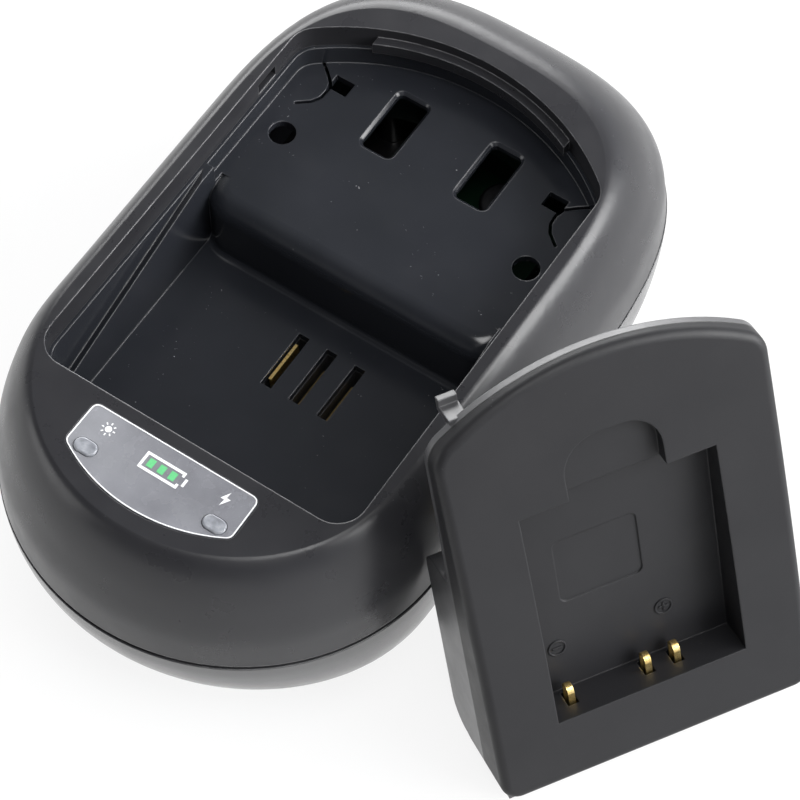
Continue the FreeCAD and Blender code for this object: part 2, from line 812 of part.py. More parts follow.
def jack_pin():
    root = jack_back_y() - jack_bore_depth
    pin = Part.makeCylinder(jack_pin_radius, jack_pin_length, V(0, root, jack_z), V(0, 1, 0))
    tip = [e for e in pin.Edges if e.BoundBox.YMin > root + jack_pin_length - tiny]
    return pin.makeFillet(jack_pin_radius / 2, tip)


def foot(x, y):
    pad = rod(foot_radius, foot_height, x, y, 0)
    return pad.makeFillet(foot_edge, [e for e in pad.Edges if e.BoundBox.ZMax < tiny])


def screw(shank_radius, head_radius, head_height, length):
    """Pan screw at the origin, its head below z = 0 and its shank above."""
    head = rod(head_radius, head_height, 0, 0, -head_height)
    reach = head_radius - screw_cross_margin
    arms = [box(-reach, reach, -screw_cross_width / 2, screw_cross_width / 2, -head_height,
                screw_cross_depth - head_height),
            box(-screw_cross_width / 2, screw_cross_width / 2, -reach, reach, -head_height,
                screw_cross_depth - head_height)]
    head = head.cut(fuse(arms))
    return head.fuse(rod(shank_radius, length, 0, 0, 0))


def case_screws():
    group = []
    for x, y in bosses:
        one = screw(screw_radius - screw_pilot_clearance, screw_head_radius, screw_head_height,
                    screw_tip_z - screw_seat_z)
        one.translate(V(x, y, screw_seat_z))
        group.append(one)
    return Part.Compound(group)


def plate_prism(grow, z0, z1):
    return bowed_prism(plate_half, 0, plate_length, plate_top, plate_foot_radius, plate_crown_radius,
                       grow, z0, z1)


def cover_side():
    """Side view of the wedge: flat back, gently bowed face."""
    foot, crown = cover_foot_thickness, cover_crown_thickness
    middle = (foot + crown) / 2 + cover_bulge
    end = plate_top + far
    edges = [line(-far, 0, -far, foot), line(-far, foot, 0, foot)]
    edges.append(arc((0, foot), (plate_top / 2, middle), (plate_top, crown)))
    edges += [line(plate_top, crown, end, crown), line(end, crown, end, 0), line(end, 0, -far, 0)]
    return edges


def face_z(y):
    """Height of the plate's face at a place up the plate."""
    foot, crown = cover_foot_thickness, cover_crown_thickness
    share = y / plate_top
    return foot + (crown - foot) * share + 4 * cover_bulge * share * (1 - share)


def plate_cover():
    wedge = side_prism(cover_side(), -far, far).common(plate_prism(0, 0, far))
    wedge = wedge.makeFillet(cover_edge, [e for e in wedge.Edges if e.BoundBox.ZMin > tiny])
    half = pocket_width / 2
    pocket = box(-half, half, pocket_foot_y, pocket_top_y, pocket_floor, far)
    scoop_half = scoop_width / 2
    scoop = box(-scoop_half, scoop_half, pocket_top_y - pocket_wall, pocket_top_y + scoop_length,
                face_z(pocket_top_y + scoop_length) - scoop_depth, far)
    scoop = scoop.makeFillet(scoop_radius, vertical_edges(scoop, lambda p: p.y > pocket_top_y))
    label = box(label_x - label_width / 2, label_x + label_width / 2, label_y - label_length / 2,
                label_y + label_length / 2, pocket_floor - label_depth, far)
    label = label.makeFillet(label_radius, vertical_edges(label, lambda p: True))
    hollow = box(-plate_half + cover_skin, plate_half - cover_skin, cover_skin, pocket_foot_y - pocket_wall,
                 -tiny, face_z(0) - 2 * cover_skin)
    bosses_in = [rod(plate_boss_radius, far, x, plate_screw_y, -tiny) for x in plate_screw_xs]
    hollow = hollow.cut(fuse(bosses_in))
    cuts = [pocket, scoop, label, hollow]
    for x in battery_contact_x:
        side = battery_contact_width / 2 + contact_slot_margin
        low = battery_contact_low_z - battery_contact_thickness - contact_slot_margin
        high = battery_contact_low_z + battery_contact_gap + battery_contact_thickness + contact_slot_margin
        cuts.append(box(x - side, x + side, pocket_foot_y - 2 * pocket_wall, pocket_foot_y + tiny, low, high))
    bite = plate_screw_bite + tiny
    cuts += [rod(plate_screw_radius, bite, x, plate_screw_y, -tiny) for x in plate_screw_xs]
    return wedge.cut(fuse(cuts))


def block_side():
    """Side view of the deep block: sloped foot with a round heel, round shoulder and swept top."""
    back, top, front = -block_depth, block_height, 0
    heel, shoulder, sweep = block_foot_radius, block_shoulder_radius, block_fillet_radius
    foot_y, foot_back_y = 0, block_foot_rise
    edges = [line(foot_y, front, foot_back_y, back + heel)]
    bend = heel * arc_middle
    heel_start, heel_end = (foot_back_y, back + heel), (foot_back_y + heel, back)
    edges.append(arc(heel_start, (foot_back_y + bend, back + bend), heel_end))
    edges.append(line(foot_back_y + heel, back, top - shoulder, back))
    edges.append(quarter((top - shoulder, back + shoulder), shoulder, 270, 360))
    edges.append(line(top, back + shoulder, top, front - sweep))
    edges.append(quarter((top + sweep, front - sweep), sweep, 180, 90))
    edges.append(line(top + sweep, front, foot_y, front))
    return edges


def plate_housing():
    flange = plate_prism(0, -housing_flange, 0)
    block = side_prism(block_side(), -plate_half, plate_half).common(plate_prism(0, -far, far))
    room_half = plate_half - block_wall
    board_under = board_back - plate_board_thickness
    room = box(-room_half, room_half, room_deep_y, room_top_y, -block_depth + block_wall, tiny)
    room = room.fuse(box(-room_half, room_half, room_foot_y, room_top_y, board_under - plate_board_gap, tiny))
    columns = [rod(plate_boss_radius, block_depth, x, plate_screw_y, -block_depth) for x in plate_screw_xs]
    ledge = plate_board_ledge
    ledges = [box(x - ledge, x + ledge, y - ledge, y + ledge, -block_depth, board_under)
              for x in (plate_board_left + ledge, plate_board_right - ledge)
              for y in (room_deep_y + ledge, plate_board_top_y - ledge)]
    tabs = []
    for left in (-tab_outer_x, tab_outer_x - tab_width):
        tab = box(left, left + tab_width, -tab_drop, tab_radius, -housing_flange, tab_reach)
        tabs.append(tab.cut(plate_prism(0, 0, far)))
    hook_end = -housing_flange - hook_reach
    hook_x0, hook_x1 = -hook_x - hook_width / 2, -hook_x + hook_width / 2
    hook_low = hook_y - hook_thickness
    stem = box(hook_x0, hook_x1, hook_low, hook_y, hook_end, -housing_flange / 2)
    lip = box(hook_x0, hook_x1, hook_low, hook_y + hook_lip, hook_end, hook_end + hook_thickness)
    body = fuse([flange, block] + tabs + [stem, lip])
    room = room.cut(fuse(columns + ledges))
    cuts = [room]
    for x in plate_screw_xs:
        cuts.append(rod(plate_screw_radius + screw_pilot_clearance, far, x, plate_screw_y, -block_depth))
        cuts.append(rod(plate_screw_head_radius + screw_pilot_clearance, plate_screw_head_height + tiny,
                        x, plate_screw_y, -block_depth - tiny))
    for x in slot_xs:
        reach = blade_length / 2 + blade_slot_clearance
        side = blade_thickness / 2 + blade_slot_clearance
        cuts.append(box(x - side, x + side, blade_y - reach, blade_y + reach, -block_depth - tiny,
                        -block_depth + block_wall + tiny))
    return body.cut(fuse(cuts))


def battery_contact(x):
    """Hairpin strip: a round nose in the pocket, a short leg, and a long leg down to the plate's board."""
    t, gap = battery_contact_thickness, battery_contact_gap
    low, high = battery_contact_low_z, battery_contact_low_z + gap
    turn = gap / 2 + t
    nose_y = pocket_foot_y + battery_contact_proud - turn
    middle = (low + high) / 2
    inner_end = pocket_foot_y - 2 * pocket_wall
    edges = [line(inner_end, high, nose_y, high)]
    edges.append(arc((nose_y, high), (nose_y + gap / 2, middle), (nose_y, low)))
    edges.append(line(nose_y, low, contact_bend_y, low))
    edges.append(line(contact_bend_y, low, contact_bend_y, board_back))
    edges.append(line(contact_bend_y, board_back, contact_bend_y + t, board_back))
    edges.append(line(contact_bend_y + t, board_back, contact_bend_y + t, low - t))
    edges.append(line(contact_bend_y + t, low - t, nose_y, low - t))
    edges.append(arc((nose_y, low - t), (nose_y + turn, middle), (nose_y, high + t)))
    edges.append(line(nose_y, high + t, inner_end, high + t))
    edges.append(line(inner_end, high + t, inner_end, high))
    return side_prism(edges, x - battery_contact_width / 2, x + battery_contact_width / 2)


def plate_board():
    return box(plate_board_left, plate_board_right, plate_board_foot_y, plate_board_top_y,
               board_back - plate_board_thickness, board_back)


def blade_contact(x):
    half = blade_thickness / 2
    blade = box(x - half, x + half, blade_y - blade_length / 2, blade_y + blade_length / 2,
                -block_depth - blade_reach, board_back - plate_board_thickness)
    end = [e for e in blade.Edges if e.BoundBox.ZMax < -block_depth - blade_reach + tiny]
    return blade.makeChamfer(blade_tip, [e for e in end if e.BoundBox.XLength > tiny])


def plate_screws():
    group = []
    for x in plate_screw_xs:
        one = screw(plate_screw_radius, plate_screw_head_radius, plate_screw_head_height,
                    plate_screw_bite - plate_seat_z)
        one.translate(V(x, plate_screw_y, plate_seat_z))
        group.append(one)
    return Part.Compound(group)


def base_nodes():
    nodes = {"top_shell": top_shell(), "bottom_shell": bottom_shell(), "bay_tray": bay_tray()}
    nodes["status_window"] = status_window()
    for name, x in lights.items():
        nodes[name + "_light_pipe"] = light_pipe(x)
        nodes[name + "_led"] = led(x)
    nodes["circuit_board"] = circuit_board()
    nodes["controller_chip"] = controller_chip()
    nodes["storage_coil"] = storage_coil()
    nodes["input_capacitor"] = can(input_capacitor_radius, input_capacitor_height,
                                   input_capacitor_x, input_capacitor_y)
    nodes["output_capacitor"] = can(output_capacitor_radius, output_capacitor_height,
                                    output_capacitor_x, output_capacitor_y)
    nodes["power_regulator"] = power_regulator()
    nodes["contact_carrier"] = contact_carrier()
    for name, x, drop in zip(("left", "middle", "right"), slot_xs, leaf_drops):
        nodes["base_contact_" + name] = base_contact(x, drop)
    nodes["dc_jack"] = dc_jack()
    nodes["jack_pin"] = jack_pin()
    for name, place in feet.items():
        nodes[name] = foot(*place)
    nodes["case_screws"] = case_screws()
    return nodes


def plate_nodes():
    nodes = {"plate_cover": plate_cover(), "plate_housing": plate_housing()}
    for name, x in zip(("left", "middle", "right"), battery_contact_x):
        nodes["battery_contact_" + name] = battery_contact(x)
    nodes["plate_board"] = plate_board()
    for name, x in zip(("left", "middle", "right"), slot_xs):
        nodes["blade_contact_" + name] = blade_contact(x)
    nodes["plate_screws"] = plate_screws()
    return nodes


def stand_plate(plate, base):
    """Stands the plate on its foot tabs, leaning back, and slides it along -X until it meets the base."""
    lean = FreeCAD.Rotation(V(1, 0, 0), 90 - plate_lean_deg)
    turn = FreeCAD.Rotation(V(0, 0, 1), plate_yaw_deg).multiply(lean)
    start = FreeCAD.Placement(V(0, 0, 0), turn)
    whole = Part.Compound([s.copy() for s in plate.values()])
    whole.Placement = start
    low = whole.optimalBoundingBox().ZMin
    place = V(body_width, plate_slide_y, -low)
    casing = Part.Compound([base["top_shell"], base["bottom_shell"]])
    skins = Part.Compound([plate["plate_cover"].copy(), plate["plate_housing"].copy()])
    for _ in range(touch_tries):
        skins.Placement = FreeCAD.Placement(place, turn)
        gap = skins.distToShape(casing)[0]
        if abs(gap - plate_touch) < tiny:
            break
        place = place - V(gap - plate_touch, 0, 0)
    return FreeCAD.Placement(place, turn)


def main():
    base = base_nodes()
    plate = plate_nodes()
    stand = stand_plate(plate, base)
    nodes = dict(base)
    for name, shape in plate.items():
        nodes[name] = shape.transformed(stand.toMatrix(), True)
    span = Part.Compound(list(nodes.values())).optimalBoundingBox()
    origin = V(-span.Center.x, -span.Center.y, -span.ZMin)
    os.makedirs("parts", exist_ok=True)
    for name, shape in nodes.items():
        shape.translate(origin)
        shape.exportStep("parts/" + name + ".step")
    return nodes, stand, origin


if __name__ == "__main__":
    main()
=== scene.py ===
import math
import bmesh
import bpy
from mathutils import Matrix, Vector


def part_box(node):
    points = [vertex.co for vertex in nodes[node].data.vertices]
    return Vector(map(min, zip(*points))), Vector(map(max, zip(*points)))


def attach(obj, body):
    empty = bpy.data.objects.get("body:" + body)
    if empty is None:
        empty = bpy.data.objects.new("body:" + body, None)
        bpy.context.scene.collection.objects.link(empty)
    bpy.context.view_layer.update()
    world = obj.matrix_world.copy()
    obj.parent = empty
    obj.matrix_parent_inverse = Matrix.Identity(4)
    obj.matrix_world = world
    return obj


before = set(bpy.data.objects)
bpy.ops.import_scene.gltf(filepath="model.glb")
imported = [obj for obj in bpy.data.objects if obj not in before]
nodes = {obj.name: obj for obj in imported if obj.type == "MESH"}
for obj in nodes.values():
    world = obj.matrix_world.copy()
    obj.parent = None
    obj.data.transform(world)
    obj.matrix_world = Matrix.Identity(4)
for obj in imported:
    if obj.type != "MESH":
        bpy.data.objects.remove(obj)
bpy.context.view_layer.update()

scene = bpy.context.scene
MM = 0.001

# Lengths of the part that place what is added here, in millimetres
tray_front_offset = 50.6
shelf_depth = 9.1
plate_foot = (73.25, -32.0, 2.38)
plate_yaw, plate_lean = math.radians(57.0), math.radians(22.0)

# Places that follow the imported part, in metres
panel_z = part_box("status_window")[1][2]
tray_low, tray_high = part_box("bay_tray")
base_x = (tray_low[0] + tray_high[0]) / 2
base_y = tray_low[1] + tray_front_offset * MM
shelf_z = panel_z - shelf_depth * MM


def at_base(x, y, z):
    """A point in the base's own millimetres, x from its middle plane."""
    return Vector((base_x + x * MM, base_y + y * MM, z * MM))


def at_panel(x, y, z):
    """A point in the base's own millimetres, with z from the top of the status panel."""
    point = at_base(x, y, 0)
    point.z = panel_z + z * MM
    return point


# The plate's own frame: x across, y up its face, z out of the face
plate_origin = at_base(*plate_foot)
plate_x = Vector((math.cos(plate_yaw), math.sin(plate_yaw), 0))
plate_back = Vector((-math.sin(plate_yaw), math.cos(plate_yaw), 0))
plate_y = plate_back * math.sin(plate_lean) + Vector((0, 0, math.cos(plate_lean)))
plate_z = plate_x.cross(plate_y)


def at_plate(x, y, z):
    """A point in the plate's own millimetres."""
    return plate_origin + (plate_x * x + plate_y * y + plate_z * z) * MM


# Single nodes, for the materials and the studio
def feed(tree, value, socket):
    """Link a socket to another one, or set it to a plain value."""
    if isinstance(value, bpy.types.NodeSocket):
        tree.links.new(value, socket)
    else:
        socket.default_value = value


def math_node(tree, operation, *values):
    node = tree.nodes.new("ShaderNodeMath")
    node.operation = operation
    for value, socket in zip(values, node.inputs):
        feed(tree, value, socket)
    return node.outputs[0]


def dot_node(tree, first, second):
    node = tree.nodes.new("ShaderNodeVectorMath")
    node.operation = "DOT_PRODUCT"
    feed(tree, first, node.inputs[0])
    feed(tree, second, node.inputs[1])
    return node.outputs["Value"]


def range_node(tree, value, low, high, out_low, out_high, curve="LINEAR"):
    node = tree.nodes.new("ShaderNodeMapRange")
    node.interpolation_type = curve
    limits = {"From Min": low, "From Max": high, "To Min": out_low, "To Max": out_high}
    for key, limit in limits.items():
        node.inputs[key].default_value = limit
    tree.links.new(value, node.inputs["Value"])
    return node.outputs["Result"]


# Node materials
BEVEL_SAMPLES = 6
MIX_FIRST, MIX_SECOND, MIX_RESULT = 6, 7, 2
DUST_COLOUR = (0.6, 0.6, 0.62)
SEAM_COLOUR = (0.003, 0.003, 0.003)
# Noise scales of plastic and metal, per metre, and heights of their bumps
CLOUD_SCALE, GLOSS_SCALE, EDGE_SHEEN_AND_WEAR_SCALE = 55.0, 130.0, 420.0
SPECK_SCALE, SCATTER_SCALE = 1500.0, 90.0
STREAK_SCALE, TARNISH_SCALE = 2600.0, 700.0
STREAK_STRETCH = (1.0, 1.0, 9.0)
GRAIN_HEIGHT, STREAK_HEIGHT = 0.02 * MM, 0.01 * MM


class Nodes:
    """Short hand for one material's node tree."""

    def __init__(self, name):
        self.material = bpy.data.materials.new(name)
        self.material.use_nodes = True
        self.tree = self.material.node_tree
        self.shader = self.tree.nodes["Principled BSDF"]
        self.place = self.add("ShaderNodeTexCoord").outputs["Object"]

    def add(self, kind):
        return self.tree.nodes.new(kind)

    def link(self, out, into):
        self.tree.links.new(out, into)

    def drive(self, **sockets):
        """Link or set inputs of the shader, named with underscores for spaces."""
        for name, value in sockets.items():
            feed(self.tree, value, self.shader.inputs[name.replace("_", " ")])

    def noise(self, scale, detail=3.0, rough=0.55, place=None):
        node = self.add("ShaderNodeTexNoise")
        node.inputs["Scale"].default_value = scale
        node.inputs["Detail"].default_value = detail
        node.inputs["Roughness"].default_value = rough
        self.link(place or self.place, node.inputs["Vector"])
        return node.outputs["Fac"]

    def ramp(self, value, low, high, out_low=0.0, out_high=1.0):
        return range_node(self.tree, value, low, high, out_low, out_high)

    def cloud(self, scale, detail=3.0, rough=0.55, out_low=0.0, out_high=1.0):
        """Noise spread over a range of values."""
        return self.ramp(self.noise(scale, detail, rough), 0.3, 0.7, out_low, out_high)

    def mix(self, share, first, second):
        node = self.add("ShaderNodeMix")
        node.data_type = "RGBA"
        for value, index in ((first, MIX_FIRST), (second, MIX_SECOND)):
            colour = (*value, 1.0) if isinstance(value, tuple) else value
            feed(self.tree, colour, node.inputs[index])
        self.link(share, node.inputs[0])
        return node.outputs[MIX_RESULT]

    def times(self, first, second):
        return math_node(self.tree, "MULTIPLY", first, second)

    def bevel(self, radius):
        """Normal of the surface with its edges rounded."""
        node = self.add("ShaderNodeBevel")
        node.samples = BEVEL_SAMPLES
        node.inputs["Radius"].default_value = radius
        return node.outputs["Normal"]

    def edges(self, radius, low=0.02, high=0.22):
        """Share of edge, where a rounded normal departs from the true one: the mask of painted edge
        highlight and wear.
        """
        plain = self.add("ShaderNodeNewGeometry").outputs["Normal"]
        return self.ramp(dot_node(self.tree, self.bevel(radius), plain), 1 - low, 1 - high)

    def bump(self, height, distance, strength, normal=None):
        node = self.add("ShaderNodeBump")
        node.inputs["Distance"].default_value = distance
        node.inputs["Strength"].default_value = strength
        self.link(height, node.inputs["Height"])
        if normal is not None:
            self.link(normal, node.inputs["Normal"])
        return node.outputs["Normal"]

    def near_plane(self, point, normal, reach, full_share=0.6):
        """One near a plane through a point, falling to nothing at a reach on both sides."""
        along = dot_node(self.tree, self.place, normal)
        shift = math_node(self.tree, "SUBTRACT", along, point.dot(normal))
        away = math_node(self.tree, "ABSOLUTE", shift)
        return self.ramp(away, reach * full_share, reach, 1.0, 0.0)

    def facing_up(self):
        split = self.add("ShaderNodeSeparateXYZ")
        self.link(self.add("ShaderNodeNewGeometry").outputs["Normal"], split.inputs[0])
        return self.ramp(split.outputs["Z"], 0.3, 0.9)


def plastic(name, colour, shade, rough, grain=7000.0, grain_depth=0.35, dust=0.25,
            edge_sheen_and_wear=0.35, edge_sheen_and_wear_colour=None, specular=0.5, bevel=0.35, seam=None):
    """Moulded plastic: cloudy colour, uneven gloss, grain, dust on top, and pale edges of painted
    highlight broken up like wear.
    """
    n = Nodes(name)
    base = n.mix(n.cloud(CLOUD_SCALE, 4.0), shade, colour)
    patchy = n.ramp(n.noise(EDGE_SHEEN_AND_WEAR_SCALE), 0.35, 0.65, 0.35, 1.0)
    # Pale edges: painted edge highlight, broken up in patches like wear
    edge_sheen_and_wear_share = n.times(n.times(n.edges(bevel * MM), patchy), edge_sheen_and_wear)
    pale = edge_sheen_and_wear_colour or tuple(min(1.0, c * 2.2 + 0.02) for c in colour)
    base = n.mix(edge_sheen_and_wear_share, base, pale)
    specks = n.ramp(n.noise(SPECK_SCALE, 2.0, 0.7), 0.72, 0.78)
    scatter = n.ramp(n.noise(SCATTER_SCALE, 2.0), 0.5, 0.68)
    dusty = n.times(n.times(n.times(specks, scatter), n.facing_up()), dust)
    base = n.mix(dusty, base, DUST_COLOUR)
    if seam:
        base = n.mix(n.near_plane(*seam), base, SEAM_COLOUR)
    gloss = n.cloud(GLOSS_SCALE, 5.0, 0.6, rough - 0.05, rough + 0.06)
    surface = n.bump(n.noise(grain, 2.0, 0.6), GRAIN_HEIGHT, grain_depth, n.bevel(bevel * MM))
    n.drive(Base_Color=base, Roughness=gloss, Normal=surface, Specular_IOR_Level=specular)
    return n.material


def metal(name, colour, shade, rough, streak=0.3):
    """Plated metal with fine drawn streaks and cloudy tarnish."""
    n = Nodes(name)
    stretch = n.add("ShaderNodeMapping")
    stretch.inputs["Scale"].default_value = STREAK_STRETCH
    n.link(n.place, stretch.inputs["Vector"])
    lines = n.noise(STREAK_SCALE, 2.0, 0.5, stretch.outputs["Vector"])
    tarnish = n.ramp(n.noise(TARNISH_SCALE, 4.0), 0.35, 0.65)
    n.drive(Base_Color=n.mix(tarnish, colour, shade), Metallic=1.0,
            Roughness=n.ramp(lines, 0.3, 0.7, rough - 0.06, rough + 0.1),
            Normal=n.bump(lines, STREAK_HEIGHT, streak))
    return n.material


def smoked():
    """Grey film of the status panel: faint mottling, soft gloss, and a painted sheen that makes its
    left side paler.
    """
    n = Nodes("smoked_film")
    sheen_from, sheen_to = base_x - 15 * MM, base_x + 2 * MM
    base = n.mix(n.cloud(160.0), (0.15, 0.152, 0.168), (0.195, 0.198, 0.217))
    grain = n.ramp(n.noise(5200.0, 2.0, 0.7), 0.62, 0.72)
    base = n.mix(n.times(grain, 0.35), base, (0.34, 0.35, 0.37))
    # Paler left side of the film: painted sheen
    across = n.add("ShaderNodeSeparateXYZ")
    n.link(n.place, across.inputs[0])
    pale = n.ramp(across.outputs["X"], sheen_from, sheen_to, 0.22, 0.0)
    base = n.mix(pale, base, (0.4, 0.41, 0.43))
    n.drive(Base_Color=base, Roughness=n.cloud(260.0, 4.0, out_low=0.2, out_high=0.32),
            Normal=n.bump(n.noise(900.0, 2.0), 0.01 * MM, 0.3),
            Coat_Weight=0.5, Coat_Roughness=0.12)
    return n.material


def clear(name):
    """Clear moulded light: pale core, wavy surface and high gloss."""
    n = Nodes(name)
    n.drive(Base_Color=n.mix(n.cloud(700.0), (0.24, 0.25, 0.28), (0.5, 0.52, 0.56)),
            Roughness=n.cloud(900.0, 2.0, out_low=0.08, out_high=0.2),
            Normal=n.bump(n.noise(1100.0, 2.0), 0.08 * MM, 0.6),
            Transmission_Weight=0.35, IOR=1.49)
    return n.material


def ink(name, colour):
    """Printed ink with a slightly uneven cover."""
    n = Nodes(name)
    thin = tuple(c * 0.86 for c in colour)
    n.drive(Base_Color=n.mix(n.cloud(3500.0), thin, colour),
            Roughness=n.cloud(1200.0, 2.0, out_low=0.35, out_high=0.5))
    return n.material


# The case's pale edge colour is painted edge highlight, with wear
case = plastic("case_satin", (0.021, 0.021, 0.0235), (0.017, 0.017, 0.0195), 0.30,
               dust=0.3, edge_sheen_and_wear=0.6, edge_sheen_and_wear_colour=(0.34, 0.34, 0.35), specular=0.4)
# The bottom shell is the case's plastic with a lighter base colour: painted reflection of the white
# floor
floor_lit_lower_case = plastic("case_lower_painted_reflection", (0.034, 0.034, 0.0365), (0.029, 0.029, 0.0315), 0.2,
                     dust=0.2, edge_sheen_and_wear=0.25, specular=1.0)
# The bay tray's base colour, darker than the case's, is painted shade in the recessed bay; its pale
# edge colour is painted edge highlight, with wear
tray = plastic("bay_painted_shade", (0.017, 0.0185, 0.023), (0.0135, 0.015, 0.0185), 0.20, grain=5200.0,
               grain_depth=0.12, dust=0.6, edge_sheen_and_wear=0.4, edge_sheen_and_wear_colour=(0.13, 0.13, 0.14))
plate_seam = (plate_origin, plate_z, 0.16 * MM)
plate = plastic("plate_grain", (0.0145, 0.0145, 0.016), (0.0115, 0.0115, 0.013), 0.46,
                grain=6200.0, grain_depth=0.45, dust=0.15, edge_sheen_and_wear=0.3, specular=0.25, seam=plate_seam)
# The housing's base colour, lighter than the cover's, is painted light on the block's lit side
housing = plastic("plate_back", (0.052, 0.052, 0.055), (0.044, 0.044, 0.047), 0.38,
                  grain=6200.0, grain_depth=0.45, dust=0.12, edge_sheen_and_wear=0.3, specular=0.9, seam=plate_seam)
rubber = plastic("foot_rubber", (0.2, 0.2, 0.21), (0.15, 0.15, 0.16), 0.7, grain=3000.0,
                 grain_depth=0.6, dust=0.2)
black = plastic("black_component", (0.02, 0.02, 0.021), (0.015, 0.015, 0.016), 0.45)
laminate = plastic("green_laminate", (0.008, 0.04, 0.018), (0.006, 0.03, 0.014), 0.38, dust=0.1)
core = plastic("dark_core", (0.06, 0.06, 0.063), (0.045, 0.045, 0.047), 0.6)
gilt = metal("gilt_strip", (0.98, 0.76, 0.34), (0.9, 0.62, 0.2), 0.3)
# A dark copy of the gilt: painted shade on the base's middle and right contacts
shaded_gilt = metal("shaded_gilt", (0.2, 0.15, 0.07), (0.12, 0.085, 0.035), 0.45)
steel = metal("plated_steel", (0.5, 0.5, 0.51), (0.38, 0.38, 0.39), 0.32)
# Near-black metal for the capacitors seen in the shelf's holes: painted shade in the holes
shaded_can = metal("capacitor_painted_shade", (0.07, 0.07, 0.075), (0.05, 0.05, 0.054), 0.4)
film = smoked()
lens = clear("clear_light")
white_ink = ink("white_ink", (0.82, 0.83, 0.84))
green_ink = ink("green_ink", (0.12, 0.5, 0.2))

finish = {
    "top_shell": case, "bottom_shell": floor_lit_lower_case, "bay_tray": tray, "status_window": film,
    "circuit_board": laminate, "plate_board": laminate, "storage_coil": core,
    "input_capacitor": shaded_can, "output_capacitor": shaded_can,
    "plate_cover": plate, "plate_housing": housing,
    "base_contact_middle": shaded_gilt, "base_contact_right": shaded_gilt,
    "case_screws": steel, "plate_screws": steel, "jack_pin": steel,
    "controller_chip": black, "power_regulator": black, "contact_carrier": black, "dc_jack": black,
}
# What the names of the other nodes hold
family_finish = {"contact_": gilt, "foot_": rubber, "light_pipe": lens, "_led": lens}
for name, node in nodes.items():
    family = [material for part, material in family_finish.items() if part in name]
    node.data.materials.clear()
    node.data.materials.append(finish[name] if name in finish else family[0])


# Raised prints and marks
def raised_piece(name, loops, place, foot, top, material):
    """Thin piece made of closed loops, each an outer outline and an inner one or None."""
    mesh = bpy.data.meshes.new(name)
    bm = bmesh.new()
    for outer, inner in loops:
        rings = [outer, inner] if inner else [outer]
        levels = [[[bm.verts.new(place(x, y, z)) for x, y in ring] for ring in rings]
                  for z in (top, foot)]
        count = len(outer)
        following = [(i, (i + 1) % count) for i in range(count)]
        for high, low in zip(*levels):
            for i, j in following:
                bm.faces.new((high[i], high[j], low[j], low[i]))
        for level in levels:
            if inner:
                for i, j in following:
                    bm.faces.new((level[0][i], level[0][j], level[1][j], level[1][i]))
            else:
                bm.faces.new(level[0])
    bmesh.ops.recalc_face_normals(bm, faces=bm.faces)
    bm.to_mesh(mesh)
    bm.free()
    piece = bpy.data.objects.new(name, mesh)
    scene.collection.objects.link(piece)
    mesh.materials.append(material)
    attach(piece, "root")


def circle(radius, count):
    turns = [2 * math.pi * i / count for i in range(count)]
    return [(radius * math.cos(t), radius * math.sin(t)) for t in turns]


def rectangle(half_x, half_y, y=0.0):
    return [(-half_x, y - half_y), (half_x, y - half_y), (half_x, y + half_y), (-half_x, y + half_y)]


def moved(points, x, y, size=1.0, turn=0.0):
    """Outline turned, scaled and moved to a place."""
    c, s = math.cos(turn), math.sin(turn)
    return [(x + size * (px * c - py * s), y + size * (px * s + py * c)) for px, py in points]


def rounded(points, radius, steps=6, side_share=0.45):
    """Closed outline with its corners rounded."""
    out = []
    for i, corner in enumerate(points):
        before = points[i - 1] - corner
        after = points[(i + 1) % len(points)] - corner
        reach = min(radius, before.length * side_share, after.length * side_share)
        start = corner + before.normalized() * reach
        end = corner + after.normalized() * reach
        for k in range(steps + 1):
            t = k / steps
            out.append(start * (1 - t) ** 2 + corner * 2 * t * (1 - t) + end * t ** 2)
    return out


# Prints on the status panel, and a white ring of painted highlight along its edge, in the base's
# millimetres
panel_half_top, panel_half_low = 15.4, 15.5
panel_top_y, panel_low_y, panel_front_y = -52.5, -60.4, -64.7
panel_corner, panel_least_corner = 1.4, 0.5
panel_bow_steps = 20
panel_low_share = 0.3
# Insets and height of the white ring of painted edge highlight
highlight_outer_inset, highlight_inner_inset = 0.06, 0.26
highlight_height, print_height = 0.05, 0.04
lamp_x, bolt_x, icon_y = -10.9, 10.9, -55.4
lamp_size, bolt_size = 0.9, 1.05
lamp_radius, lamp_steps, ray_count = 0.55, 28, 8
ray_half_width, ray_start, ray_end = 0.12, 0.9, 1.35
cell_y, cell_half_length, cell_half_width, cell_wall = -56.6, 3.6, 1.55, 0.45
nub_half_width, nub_length = 0.7, 0.8
bar_half_width, bar_half_height, bar_places = 0.55, 0.75, (-2.0, 0.0, 2.0)


def panel_outline(inset):
    """Outline of the panel with a bowed front, drawn in by an inset."""
    half_top, half_low = panel_half_top - inset, panel_half_low - inset
    top_y, front_y = panel_top_y - inset, panel_front_y + inset
    low_y = panel_low_y + inset * panel_low_share
    rise = low_y - front_y
    radius = (half_low ** 2 + rise ** 2) / (2 * rise)
    points = [Vector((half_top, top_y)), Vector((-half_top, top_y)), Vector((-half_low, low_y))]
    for i in range(1, panel_bow_steps):
        x = -half_low + 2 * half_low * i / panel_bow_steps
        points.append(Vector((x, front_y + radius - math.sqrt(radius ** 2 - x ** 2))))
    points.append(Vector((half_low, low_y)))
    return rounded(points, max(panel_least_corner, panel_corner - inset))


def cell_outline(inset):
    """Outline of a cell with the nub of its pole, drawn in by an inset."""
    end, side, nub = cell_half_length - inset, cell_half_width - inset, nub_half_width
    tip = end + nub_length
    points = [(-end, -side), (end, -side), (end, -nub), (tip, -nub),
              (tip, nub), (end, nub), (end, side), (-end, side)]
    return moved(points, 0.0, cell_y)


def panel_print_and_highlight(name, loops, height, material):
    raised_piece(name, loops, at_panel, 0.0, height, material)


